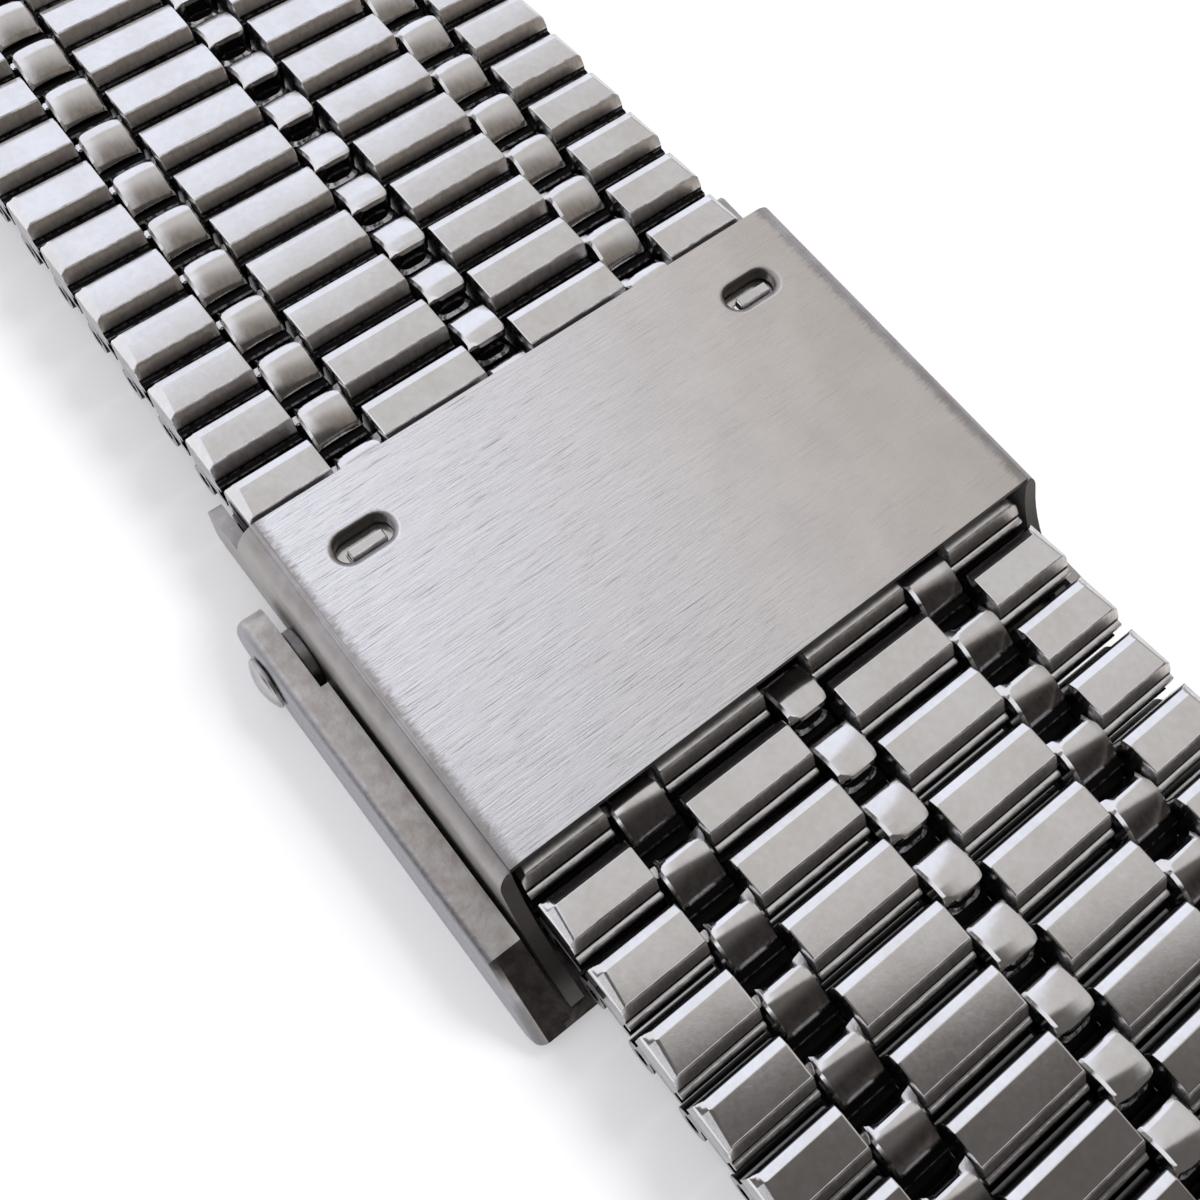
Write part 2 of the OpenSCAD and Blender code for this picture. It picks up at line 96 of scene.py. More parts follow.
# Beads, and the carrier's thin base under the centre bead
SIDE_BEAD_X = 0.70
SIDE_BEAD_LEN = 1.58
CENTRE_BEAD_X = 0.80
CENTRE_BEAD_LEN = 1.62
CENTRE_BASE_LEN = 1.90
BEAD_CLEAR = 0.17
BEAD_CORNER_R = 0.45
BEAD_CROWN = 0.09
PAD_STEP = 0.62
BASE_STEP = 0.14
TAB_LEN = 0.35
TAB_H = 0.75
TAB_CLEAR = 0.08

# Strip, tongue and riser under each bead: from and to along X, wider than the column by, low and high below the seat
UNDER_BEAD = ((PITCH + 0.30, PITCH + 0.56, 0.0, 0.26, 0.03),
              (0.50, 0.95, 0.08, 0.56, 0.34),
              (0.82, 0.94, -0.1, 0.36, 0.20))

# A row's carrier and wire run across the band, and are longer than this
ACROSS_BAND = 18.0

# The clasp, in millimetres from the middle of the footprint
MIDDLE_Y = 0.275
NEAR_EDGE = 5.975
LOCK_WALL_T = 1.05
LOCK_WALL_Y = -11.0
LOCK_SLOPE = 2.75
LOCK_FOOT_Z = 0.6
WALL_LOW_Z = 0.75
WALL_ROUND_R = 0.40
WALL_RIM = 0.27
LUG_R = 1.2
LUG_FROM_Z = 0.9
WASHER_END = -2.6

# Edges sharper than this stay sharp in the shading
SHARP_DEG = 32
SHARP_BAR_DEG = 38

# Table, lamp, flag and camera, in metres; the room light and the flag change along x - SLANT * y
TABLE_SIZE = 3.0
SLANT = 0.55
LAMP_SIZE = 0.30
LAMP_ENERGY = 2.1
LAMP_PLACE = (-0.06, 0.34, 0.42)
FLAG_FROM = (-0.06, -0.12)
FLAG_TO = (0.30, 0.10)
FLAG_Z = 0.046
CAMERA_LENS = 41.1777
CAMERA_PLACE = (0.012321, -0.015428, 0.043788)
CAMERA_DEG = (22.972098, -3.877441, 51.708772)


# Meshes

def smooth(mesh, keep_sharp):
    """Smooth faces with the edges over keep_sharp degrees marked sharp."""
    for face in mesh.polygons:
        face.use_smooth = True
    mesh.set_sharp_from_angle(angle=math.radians(keep_sharp))


def placed(name, data):
    """A new object with the mesh, lamp or camera, in the scene."""
    ob = bpy.data.objects.new(name, data)
    bpy.context.scene.collection.objects.link(ob)
    return ob


def object_of(bm, name, keep_sharp=SHARP_DEG):
    """A new object from a bmesh in millimetres, smooth with its sharp edges marked."""
    bmesh.ops.scale(bm, vec=Vector((MM, MM, MM)), verts=bm.verts)
    mesh = bpy.data.meshes.new(name)
    bm.to_mesh(mesh)
    bm.free()
    smooth(mesh, keep_sharp)
    return placed(name, mesh)


def arc(cx, cz, r, from_deg, to_deg, count):
    """Points on an arc round (cx, cz), in count steps."""
    out = []
    for i in range(count + 1):
        a = math.radians(from_deg + (to_deg - from_deg) * i / count)
        out.append((cx + r * math.cos(a), cz + r * math.sin(a)))
    return out


def loft(bm, rings):
    """Quads between closed rings of points, with both ends capped."""
    rows = [[bm.verts.new(p) for p in ring] for ring in rings]
    count = len(rows[0])
    for a, b in zip(rows, rows[1:]):
        for i in range(count):
            j = (i + 1) % count
            bm.faces.new((a[i], a[j], b[j], b[i]))
    bm.faces.new(rows[0][::-1])
    bm.faces.new(rows[-1])


def close(bm):
    """Merges doubled points and turns every face outward."""
    bmesh.ops.remove_doubles(bm, verts=bm.verts, dist=1e-5)
    bmesh.ops.recalc_face_normals(bm, faces=bm.faces)


def block(bm, lo, hi, ease=0.0):
    """A block from corner lo to corner hi with its upright and top edges eased."""
    parts = bmesh.ops.create_cube(bm, size=1.0)
    size = Vector(hi) - Vector(lo)
    mid = (Vector(hi) + Vector(lo)) / 2
    for v in parts["verts"]:
        v.co = Vector((v.co.x * size.x, v.co.y * size.y, v.co.z * size.z)) + mid
    if ease:
        edges = {e for v in parts["verts"] for e in v.link_edges
                 if max(e.verts[0].co.z, e.verts[1].co.z) > mid.z}
        bmesh.ops.bevel(bm, geom=list(edges), offset=ease, segments=2, affect="EDGES")


def bar_section(inset, fall):
    """Side view of a bar as (x, z) over the seat, drawn in by inset: small steps round every bend."""
    x0 = BAR_X + inset
    top_x = x0 + SLOPE_LEN
    flat_x = BAR_X + BAR_TOP_LEN
    foot_x = BAR_X + BAR_TOP_LEN + BAR_BEVEL_LEN - inset
    h = BAR_H - inset
    brow = h - fall
    low = h - BAR_BEVEL_H
    lip_top = LIP_Z + LIP_T - inset
    far_side = [(x0, 0.0), (x0, brow - 0.16), (x0 + 0.008, brow - 0.09), (x0 + 0.03, brow - 0.035),
                (x0 + 0.065, brow + 0.004), (x0 + 0.10, brow + 0.03)]
    top = [(top_x - 0.03, h - 0.014), (top_x - 0.01, h - 0.003), (top_x + 0.01, h), (top_x + 0.03, h),
           (flat_x - 0.06, h), (flat_x - 0.03, h - 0.002), (flat_x + 0.01, h - 0.018)]
    bevel = [(flat_x + 0.04, h - 0.055), (flat_x + 0.06, h - 0.085), (foot_x - 0.04, low + 0.055), (foot_x - 0.01, low)]
    nose = LIP_NOSE_R - inset / 2
    nose_x = foot_x + LIP_LEN - nose - inset / 2
    lip = [(foot_x + 0.01, lip_top + 0.05), (foot_x + 0.05, lip_top - 0.002)]
    lip += arc(nose_x, lip_top - nose, nose, 80, 0, 3) + arc(nose_x, LIP_Z + nose, nose, 0, -90, 2)
    return far_side + top + bevel + lip + [(foot_x, LIP_Z), (foot_x, 0.0)]


def bar_ring(y, fall, inset=0.0, end=None):
    """A bar's section at y. On a sloped end, end is the share of the slope's width left at this ring."""
    points = bar_section(inset, fall)
    if end is None:
        return [(x, y, SEAT_Z + z) for x, z in points]
    ring = []
    for x, z in points:
        along = min(max((x - BAR_X) / BAR_TOP_LEN, 0), 1)
        wide = END_SLOPE - END_TAPER * along
        cap = BAR_H - 0.8 * wide * (1 - end) - (0.05 if end == 0 else 0)
        ring.append((x, y - end * wide, SEAT_Z + min(z, cap)))
    return ring


def darken(ob, test):
    """Marks faces for the carrier's material, which paints black shade on their tops; test gets a face's middle in
    millimetres and its normal.
    """
    layer = ob.data.attributes.new("carrier", "BOOLEAN", "FACE")
    layer.data.foreach_set("value", [test(face.center / MM, face.normal) for face in ob.data.polygons])
    return ob


def bar(name, y0, y1, slope_end, crease, fall):
    """A folded bar from y0 to y1; the edge bars slope down at their outer end."""
    ease = BAR_EASE
    at = [(y0, ease), (y0 + 0.3 * ease, 0.3 * ease), (y0 + ease,), (y0 + ease + 0.03,)]
    if slope_end:
        at += [(y1 - 0.06, 0.0, 1.0), (y1 - 0.02, 0.0, 1.0)]
        at += [(y1, 0.0, left) for left in (0.88, 0.80, 0.25, 0.10, 0.0)]
    else:
        at += [(y1 - ease - 0.03,), (y1 - ease,), (y1 - 0.3 * ease, 0.3 * ease), (y1, ease)]
    bm = bmesh.new()
    loft(bm, [bar_ring(y, fall, *shape) for y, *shape in at])
    close(bm)
    foot = BAR_X + BAR_TOP_LEN + BAR_BEVEL_LEN - 0.012
    brow = SEAT_Z + LIP_Z + LIP_T + 0.12

    # Faces in the fold under the lip get the painted black shade
    def in_fold(mid, normal):
        return foot < mid.x < foot + crease and mid.z < brow and normal.z > -0.2

    return darken(object_of(bm, name, SHARP_BAR_DEG), in_fold)


def corner_fold(x, y, x_edge, y_edge, r):
    """Moves a grid point of the square corner at (x_edge, y_edge) into a rounded one."""
    a = 1 - abs(x - x_edge) / r
    b = 1 - abs(y - y_edge) / r
    if a <= 0 or b <= 0:
        return x, y
    sx = 1 if x_edge >= x else -1
    sy = 1 if y_edge >= y else -1
    cx, cy = x_edge - sx * r, y_edge - sy * r
    return cx + sx * r * a * math.sqrt(1 - b * b / 2), cy + sy * r * b * math.sqrt(1 - a * a / 2)


def steps(*runs):
    """Values from runs of (end, count), starting at 0."""
    out = [0.0]
    for end, count in runs:
        start = out[-1]
        out += [start + (end - start) * (i + 1) / count for i in range(count)]
    return out


def eased(d, r):
    """Depth of an edge eased with radius r, at a distance d from it."""
    d = max(d, 0)
    return r - math.sqrt(max(r * r - (r - d) ** 2, 0)) if d < r else 0.0


def pad(bm, x0, length, width, fall, round_far, round_r, square_r, side_r):
    """A crowned pad on a grid, with the corners of its far or near end rounded in plan.

    fall gives the top's drop at x; round_r, square_r and side_r ease the rounded end, the other end and the sides."""
    r = BEAD_CORNER_R
    xs = steps((r, 5), (length - r, 5), (length, 5))
    ys = [y - width / 2 for y in steps((r, 5), (width - r, 4), (width, 5))]
    grid = []
    for x in xs:
        row = []
        for y in ys:
            px, py = x, y
            for y_edge in (-width / 2, width / 2):
                px, py = corner_fold(px, py, 0.0 if round_far else length, y_edge, r)
            from_round, from_square = (px, length - px) if round_far else (length - px, px)
            in_x, in_y = r - from_round, abs(py) - (width / 2 - r)
            reach = math.hypot(in_x, in_y)
            if in_x > 0 and in_y > 0:
                share = min(in_y / max(reach, 1e-6), 1)
                down = eased(r - reach, side_r * share + round_r * (1 - share))
            else:
                down = max(eased(width / 2 - abs(py), side_r), eased(from_round, round_r))
            down = max(down, eased(from_square, square_r)) + BEAD_CROWN * (2 * py / width) ** 2 + fall(px)
            row.append(bm.verts.new((x0 + px, py, TOP_Z - down)))
        grid.append(row)
    nx, ny = len(xs), len(ys)
    for i in range(nx - 1):
        for j in range(ny - 1):
            bm.faces.new((grid[i][j], grid[i + 1][j], grid[i + 1][j + 1], grid[i][j + 1]))
    rim = [grid[i][0] for i in range(nx)] + [grid[-1][j] for j in range(1, ny)]
    rim += [grid[i][-1] for i in range(nx - 2, -1, -1)] + [grid[0][j] for j in range(ny - 2, 0, -1)]
    foot = [bm.verts.new((v.co.x, v.co.y, SEAT_Z)) for v in rim]
    for i in range(len(rim)):
        j = (i + 1) % len(rim)
        bm.faces.new((rim[j], rim[i], foot[i], foot[j]))
    bm.faces.new(foot)


def side_bead():
    """Side bead: rounded far cap, flat middle, near part that falls away, lip and square tab."""
    bm = bmesh.new()
    x0, length = SIDE_BEAD_X, SIDE_BEAD_LEN
    half = SIDE_GAP / 2 - BEAD_CLEAR
    flat_from, cap_len = 0.35, 0.75

    def fall(x):
        near = max((x - flat_from) / (length - flat_from), 0)
        return 0.50 * near ** 1.8 + 0.11 * max(1 - x / cap_len, 0) ** 2

    pad(bm, x0, length, 2 * half, fall, True, 0.22, 0.05, 0.10)
    block(bm, (x0 + 0.02, 0.01 - half, SEAT_Z + 0.02), (x0 + length - 0.02, half - 0.01, SEAT_Z + PAD_STEP), 0.04)
    inside = x0 + length - 0.05
    nose = arc(x0 + length + LIP_T / 2, PAD_STEP - LIP_T / 2, LIP_T / 2, 90, -90, 5)
    lip = [(inside, PAD_STEP)] + nose + [(inside, PAD_STEP - LIP_T)]
    loft(bm, [[(x, y, SEAT_Z + z) for x, z in lip] for y in (-half, half)])
    tab = SIDE_GAP / 2 - TAB_CLEAR
    block(bm, (x0 + 0.001, -tab, SEAT_Z + 0.001), (x0 + TAB_LEN, tab, SEAT_Z + TAB_H), 0.05)
    close(bm)

    # The lip gets the painted black shade of the gap behind the bead
    def on_lip(mid, normal):
        return mid.x > x0 + length - 0.06 and mid.z < SEAT_Z + PAD_STEP + 0.02

    return darken(object_of(bm, "side_bead"), on_lip)


def centre_bead():
    """Centre bead: falls away on its far half, with round near corners."""
    bm = bmesh.new()
    flat_from = 0.9

    def fall(x):
        return 0.30 * max(1 - x / flat_from, 0) ** 1.3

    pad(bm, CENTRE_BEAD_X, CENTRE_BEAD_LEN, CENTRE_GAP - 2 * BEAD_CLEAR, fall, False, 0.14, 0.06, 0.09)
    close(bm)
    return object_of(bm, "centre_bead")


def centre_base(bm):
    """Thin base of the carrier that shows past the centre bead's near corners, with a sloped rim."""
    half = CENTRE_GAP / 2 - BEAD_CLEAR
    x0, x1, r = CENTRE_BEAD_X + 0.02, CENTRE_BEAD_X + CENTRE_BASE_LEN, BEAD_CORNER_R
    outline = [(x0, -half), (x1 - r, -half)] + arc(x1 - r, r - half, r, -90, 0, 5)[1:]
    outline += arc(x1 - r, half - r, r, 0, 90, 5) + [(x0, half)]
    mid_x = (x0 + x1) / 2
    top = PAD_STEP - BASE_STEP
    rings = []
    for inward, z in ((0, 0.01), (0, top - 0.10), (0.12, top), (0.16, top)):
        rings.append([(x - math.copysign(inward, x - mid_x), y - math.copysign(inward, y), SEAT_Z + z)
                      for x, y in outline])
    loft(bm, rings)


def solids_of(ob):
    """A merged copy of a CAD node's mesh, and the vertices of each of its solids."""
    bm = bmesh.new()
    bm.from_mesh(ob.data)
    bmesh.ops.remove_doubles(bm, verts=bm.verts, dist=2e-7)
    left = set(bm.verts)
    solids = []
    while left:
        stack = [left.pop()]
        solid = []
        while stack:
            v = stack.pop()
            solid.append(v)
            for e in v.link_edges:
                w = e.other_vert(v)
                if w in left:
                    left.discard(w)
                    stack.append(w)
        solids.append(solid)
    return bm, solids


def cad_copy(node, name, ease=0.0, on_edge=None, keep=None, shift=(0, 0, 0)):
    """A merged copy of a CAD node with its flat faces joined and its sharp edges eased.

    on_edge picks the edges to ease by their middle in millimetres, keep the solids by their vertices."""
    bm, solids = solids_of(frame["nodes"][node])
    if keep:
        gone = [v for solid in solids if not keep(solid) for v in solid]
        bmesh.ops.delete(bm, geom=gone, context="VERTS")
    bmesh.ops.translate(bm, vec=Vector(shift), verts=bm.verts)
    bmesh.ops.scale(bm, vec=Vector((1 / MM, 1 / MM, 1 / MM)), verts=bm.verts)
    bmesh.ops.dissolve_limit(bm, angle_limit=math.radians(1.5), verts=bm.verts, edges=bm.edges)
    if ease:
        sharp = [e for e in bm.edges if len(e.link_faces) == 2 and e.calc_face_angle(0) > math.radians(SHARP_DEG)
                 and (on_edge is None or on_edge((e.verts[0].co + e.verts[1].co) / 2))]
        bmesh.ops.bevel(bm, geom=sharp, offset=ease, segments=2, affect="EDGES", clamp_overlap=True)
    return object_of(bm, name)


# Finishes

class Nodes:
    """Short calls for building a node tree."""

    def __init__(self, tree):
        self.tree = tree

    def feed(self, target, value):
        """Gives an input another node's output or a value of its own; colours are opaque."""
        if isinstance(value, bpy.types.NodeSocket):
            self.tree.links.new(value, target)
        else:
            target.default_value = (*value, 1) if target.type == "RGBA" else value

    def node(self, kind, feeds=None, **props):
        """A new node with its properties set and its inputs fed by name or number."""
        n = self.tree.nodes.new(kind)
        for key, value in props.items():
            setattr(n, key, value)
        for key, value in (feeds or {}).items():
            self.feed(n.inputs[key], value)
        return n


class Shading(Nodes):
    """Short calls for sums, ramps and mixes in a shader tree."""

    def __init__(self, tree):
        super().__init__(tree)
        self.coord = self.node("ShaderNodeTexCoord")

    def calc(self, op, *values):
        return self.node("ShaderNodeMath", dict(enumerate(values)), operation=op).outputs["Value"]

    def times(self, first, *others):
        for value in others:
            first = self.calc("MULTIPLY", first, value)
        return first

    def plus(self, a, b):
        return self.calc("ADD", a, b)

    def most(self, a, b):
        return self.calc("MAXIMUM", a, b)

    def all_but(self, share):
        return self.calc("SUBTRACT", 1.0, share)

    def span(self, value, lo, hi, to_lo=0.0, to_hi=1.0, kind="LINEAR"):
        """The value's run from lo to hi as to_lo to to_hi, held past both."""
        ends = {"From Min": lo, "From Max": hi, "To Min": to_lo, "To Max": to_hi}
        return self.node("ShaderNodeMapRange", {"Value": value, **ends}, interpolation_type=kind).outputs["Result"]

    def ramp(self, value, lo, hi, to_lo=0.0, to_hi=1.0):
        """As span, with soft ends."""
        return self.span(value, lo, hi, to_lo, to_hi, "SMOOTHSTEP")

    def blend(self, share, a, b):
        """Colour from a to b by share."""
        return self.node("ShaderNodeMix", {0: share, 6: a, 7: b}, data_type="RGBA").outputs[2]

    def over(self, share, a, b):
        """Shader from a to b by share."""
        return self.node("ShaderNodeMixShader", {0: share, 1: a, 2: b}).outputs[0]

    def glow(self, colour):
        return self.node("ShaderNodeEmission", {"Color": colour, "Strength": 1.0}).outputs[0]

    def clear(self):
        return self.node("ShaderNodeBsdfTransparent").outputs[0]

    def parts(self, vector):
        return self.node("ShaderNodeSeparateXYZ", {0: vector}).outputs

    def facing(self, axis):
        """The surface normal's part along an axis."""
        return self.parts(self.coord.outputs["Normal"])[axis]

    def place(self, axis):
        """The surface point's place along an axis, in metres."""
        return self.parts(self.coord.outputs["Object"])[axis]

    def off_middle(self):
        """The surface point's distance from the band's middle line, in metres."""
        return self.calc("ABSOLUTE", self.calc("SUBTRACT", self.place("Y"), MIDDLE_Y * MM))


class Finish(Shading):
    """A steel finish: colour and roughness with their own variation, and a bump from the surface."""

    def __init__(self, name, colour):
        self.mat = bpy.data.materials.new(name)
        self.mat.use_nodes = True
        super().__init__(self.mat.node_tree)
        self.steel = self.tree.nodes["Principled BSDF"].inputs
        self.feed(self.steel["Metallic"], 1.0)
        self.feed(self.steel["Base Color"], colour)

    def noise(self, scale, detail=4.0, rough=0.6, stretch=(1, 1, 1), distortion=0.0):
        """Noise with so many cells to the millimetre, stretched along the axes."""
        spot = {"Vector": self.coord.outputs["Object"], "Scale": [s / MM for s in stretch]}
        cells = {"Scale": scale, "Detail": detail, "Roughness": rough, "Distortion": distortion}
        mapped = self.node("ShaderNodeMapping", spot).outputs["Vector"]
        return self.node("ShaderNodeTexNoise", {"Vector": mapped, **cells}).outputs["Fac"]

    def mottled(self, noise, dark, light, edge=0.34):
        """Colour from dark to light by a noise."""
        return self.blend(self.span(noise, edge, 1 - edge), dark, light)

    def done(self, colour, rough, height, depth_mm):
        """Links colour, roughness and a bump of the given height, and returns the material."""
        self.feed(self.steel["Base Color"], colour)
        self.feed(self.steel["Roughness"], rough)
        bump = self.node("ShaderNodeBump", {"Distance": depth_mm * MM, "Strength": 1.0, "Height": height})
        self.feed(self.steel["Normal"], bump.outputs["Normal"])
        return self.mat


def satin_links():
    """Satin tops, mottled lips and smooth beads; the brown near slants, the beads' near parts and the far sides are
    painted shade.
    """
    f = Finish("satin_link_steel", (0.76, 0.755, 0.75))
    # The columns across the band, and the near half of it
    across = f.off_middle()
    side_column = f.times(f.calc("GREATER_THAN", across, WIDE_OUT * MM),
                          f.calc("LESS_THAN", across, (WIDE_OUT + SIDE_GAP) * MM))
    bead = f.most(side_column, f.calc("LESS_THAN", across, WIDE_IN * MM))
    bar_column = f.all_but(bead)
    near_rows = f.calc("GREATER_THAN", f.place("X"), 0.0)
    shaded = f.times(near_rows, side_column)
    # The faces of a bar and a bead, by how far they turn to the near side
    toward = f.facing("X")
    steep = f.most(f.ramp(toward, 0.22, 0.60), f.times(shaded, f.ramp(toward, 0.16, 0.42)))
    bevel = f.times(f.ramp(toward, 0.66, 0.78), f.ramp(toward, 0.97, 0.92))
    near_side = f.most(f.times(bevel, bar_column), f.times(steep, bead))
    far_side = f.times(f.ramp(toward, -0.52, -0.66), bar_column)
    lip = f.times(f.ramp(toward, 0.05, 0.16), bar_column, f.all_but(bevel))
    # Tones: a mottled top, and painted shade on the near-facing sides of bars and beads, darkest on the near rows' side
    # beads
    cloud = f.noise(0.55, rough=0.55)
    specks = f.noise(3.2)
    grain = f.noise(7.0)
    mottle = f.noise(1.0, stretch=(3.0, 5.5, 3.0), distortion=0.5)
    wear = f.noise(1.0, rough=0.65, stretch=(6.0, 1.5, 6.0), distortion=0.3)
    even = f.plus(f.times(cloud, 0.6), f.times(specks, 0.4))
    tone = f.mottled(even, (0.715, 0.70, 0.685), (0.80, 0.80, 0.805), 0.38)
    # slant is the painted shade of the bars' near-facing sides
    slant = f.mottled(mottle, (0.52, 0.48, 0.445), (0.70, 0.655, 0.615))
    bead_near_shade = f.mottled(mottle, (0.27, 0.255, 0.24), (0.40, 0.38, 0.365))
    near_row_bead_shade = f.mottled(mottle, (0.13, 0.125, 0.12), (0.23, 0.22, 0.215))
    lip_tone = f.blend(f.ramp(wear, 0.36, 0.64), (0.40, 0.39, 0.385), (0.86, 0.86, 0.87))
    tone = f.blend(lip, tone, lip_tone)
    tone = f.blend(f.times(near_side, 0.95), tone, f.blend(bead, slant, f.blend(shaded, bead_near_shade, near_row_bead_shade)))
    # The far sides of the bars, down in the gaps, are painted black shade
    tone = f.blend(far_side, tone, (0.06, 0.056, 0.055))
    # End faces in a darker mottled grey, and the right end slopes in it too as painted shade
    rim = f.calc("GREATER_THAN", across, (HALF_W - 0.6) * MM)
    ends = f.times(rim, f.ramp(f.calc("ABSOLUTE", f.facing("Y")), 0.72, 0.92))
    right = f.times(rim, f.ramp(f.facing("Y"), 0.30, 0.55, 0.0, 0.8))
    tone = f.blend(f.most(ends, right), tone, f.mottled(mottle, (0.34, 0.33, 0.33), (0.50, 0.49, 0.50)))
    matte = f.plus(f.times(near_side, bar_column, f.plus(f.times(near_rows, 0.12), 0.16)), f.times(lip, 0.25))
    rough = f.plus(f.span(grain, 0.3, 0.7, 0.14, 0.20), matte)
    depth = f.plus(f.times(near_side, 0.30), f.times(lip, 0.5))
    dents = f.times(mottle, depth, f.plus(f.times(bar_column, 0.75), 0.25))
    return f.done(tone, rough, f.plus(f.times(grain, 0.04), dents), 0.035)


def carrier_steel_and_shade():
    """Carrier sheet, loops and wires: painted black shade on top, plain steel below and at the band's edges."""
    f = Finish("carrier_steel_and_shade", (0.3, 0.3, 0.3))
    across = f.off_middle()
    under = f.ramp(f.facing("Z"), -0.2, -0.7)
    edge = f.times(f.span(across, (HALF_W - 0.35) * MM, (HALF_W - 0.25) * MM),
                   f.span(f.calc("ABSOLUTE", f.facing("Y")), 0.5, 0.8))
    plain = f.mottled(f.noise(2.2), (0.34, 0.33, 0.325), (0.50, 0.49, 0.49), 0.35)
    # Edges that slope to the near side get ragged bright steel, a painted glint, most in the centre column
    grain = f.noise(4.0)
    sloped = f.times(f.ramp(f.facing("X"), 0.30, 0.45), f.ramp(f.facing("X"), 0.95, 0.80))
    column = f.span(across, WIDE_IN * MM, (WIDE_IN + 0.1) * MM, 1.0, 0.30)
    painted_glint = f.times(sloped, column, f.span(grain, 0.42, 0.56, 0.1, 1.0))
    # dark is painted black shade, for the gaps between bars, beads and rows
    dark = f.blend(painted_glint, (0.010, 0.009, 0.009), (0.85, 0.85, 0.86))
    return f.done(f.blend(f.most(under, edge), dark, plain), f.span(grain, 0.3, 0.7, 0.40, 0.52), grain, 0.012)


def brushed_cover():
    """Sheet brushed across the band: fine streaks on top that fade raggedly into matte bends and walls."""
    f = Finish("brushed_cover_steel", (0.78, 0.775, 0.78))
    ragged = f.noise(1.0, 5, 0.7, (9.0, 2.6, 9.0))
    reach = f.plus(f.off_middle(), f.times(f.calc("SUBTRACT", ragged, 0.5), 0.8 * MM))
    top = f.times(f.ramp(f.facing("Z"), 0.90, 0.99), f.ramp(reach, 10.48 * MM, 10.08 * MM))
    streak = f.noise(1.0, 5, 0.65, (17.0, 0.8, 17.0))
    scratch = f.noise(1.0, 3, 0.6, (22.0, 0.6, 22.0), 0.1)
    blotch = f.noise(0.45)
    mottle = f.noise(1.3)
    # Painted light: lighter and streaked at the left, dimmer, warmer and blotched at the right
    to_right = f.span(f.place("Y"), -8.5 * MM, 9.5 * MM)
    light = f.blend(to_right, (0.98, 0.98, 1.0), (0.70, 0.665, 0.63))
    dim = f.blend(to_right, (0.83, 0.83, 0.865), (0.62, 0.585, 0.555))
    keen = f.ramp(to_right, 0.35, 0.75, 1.0, 0.30)
    share = f.plus(f.times(f.span(streak, 0.35, 0.65), keen), f.times(f.span(blotch, 0.35, 0.65), f.all_but(keen)))
    scored = f.times(f.ramp(scratch, 0.40, 0.31), keen, 0.65)
    tone_top = f.blend(scored, f.blend(share, dim, light), (0.25, 0.24, 0.235))
    # Bends and walls, the walls a little darker; the right wall and the near end faces darker still, as painted shade
    wall = f.ramp(f.calc("ABSOLUTE", f.facing("Y")), 0.35, 0.85)
    tone_side = f.mottled(mottle, (0.40, 0.375, 0.36), (0.50, 0.485, 0.49), 0.35)
    tone_side = f.blend(f.times(wall, 0.5), tone_side, (0.34, 0.32, 0.30))
    tone_side = f.blend(f.ramp(f.facing("Y"), 0.6, 0.95), tone_side, (0.14, 0.13, 0.12))
    tone = f.blend(f.ramp(f.facing("X"), 0.25, 0.5), f.blend(top, tone_side, tone_top), (0.10, 0.092, 0.085))
    rough = f.plus(f.span(streak, 0.3, 0.7, 0.24, 0.34), f.times(f.all_but(top), 0.24))
    lines = f.times(f.plus(streak, f.times(scratch, 0.5)), top, keen)
    return f.done(tone, rough, f.plus(lines, f.times(mottle, 0.8, f.all_but(top))), 0.022)


def lock_sheet():
    """Lock plate: beige satin on the wall's top, and painted dark shade on the near slope and the channel floor."""
    f = Finish("lock_plate_steel", (0.66, 0.65, 0.645))
    mottle = f.noise(1.6)
    grain = f.noise(6.0, 3)
    light = f.mottled(mottle, (0.42, 0.39, 0.365), (0.55, 0.53, 0.515), 0.35)
    light = f.blend(f.ramp(f.facing("Y"), -0.15, -0.55), light, (0.33, 0.33, 0.345))
    # Painted shade on the near slope and on the channel floor below the wall
    up = f.ramp(f.facing("Z"), 0.5, 0.8)
    slope = f.times(f.ramp(f.facing("X"), 0.30, 0.45), up)
    floor = f.times(up, f.span(f.place("Z"), 0.75 * MM, 0.68 * MM))
    dark = f.mottled(mottle, (0.055, 0.05, 0.047), (0.13, 0.12, 0.115), 0.35)
    return f.done(f.blend(f.most(slope, floor), light, dark), f.span(grain, 0.3, 0.7, 0.32, 0.44),
                  f.plus(mottle, f.times(grain, 0.35)), 0.02)


def satin_sheet(name, light, dark, rough):
    """Plain satin sheet steel with soft mottling."""
    f = Finish(name, light)
    mottle = f.noise(1.6)
    grain = f.noise(9.0, 3)
    return f.done(f.mottled(mottle, dark, light, 0.35), f.span(grain, 0.3, 0.7, rough - 0.04, rough + 0.06),
                  f.plus(mottle, f.times(grain, 0.25)), 0.012)


# Rows

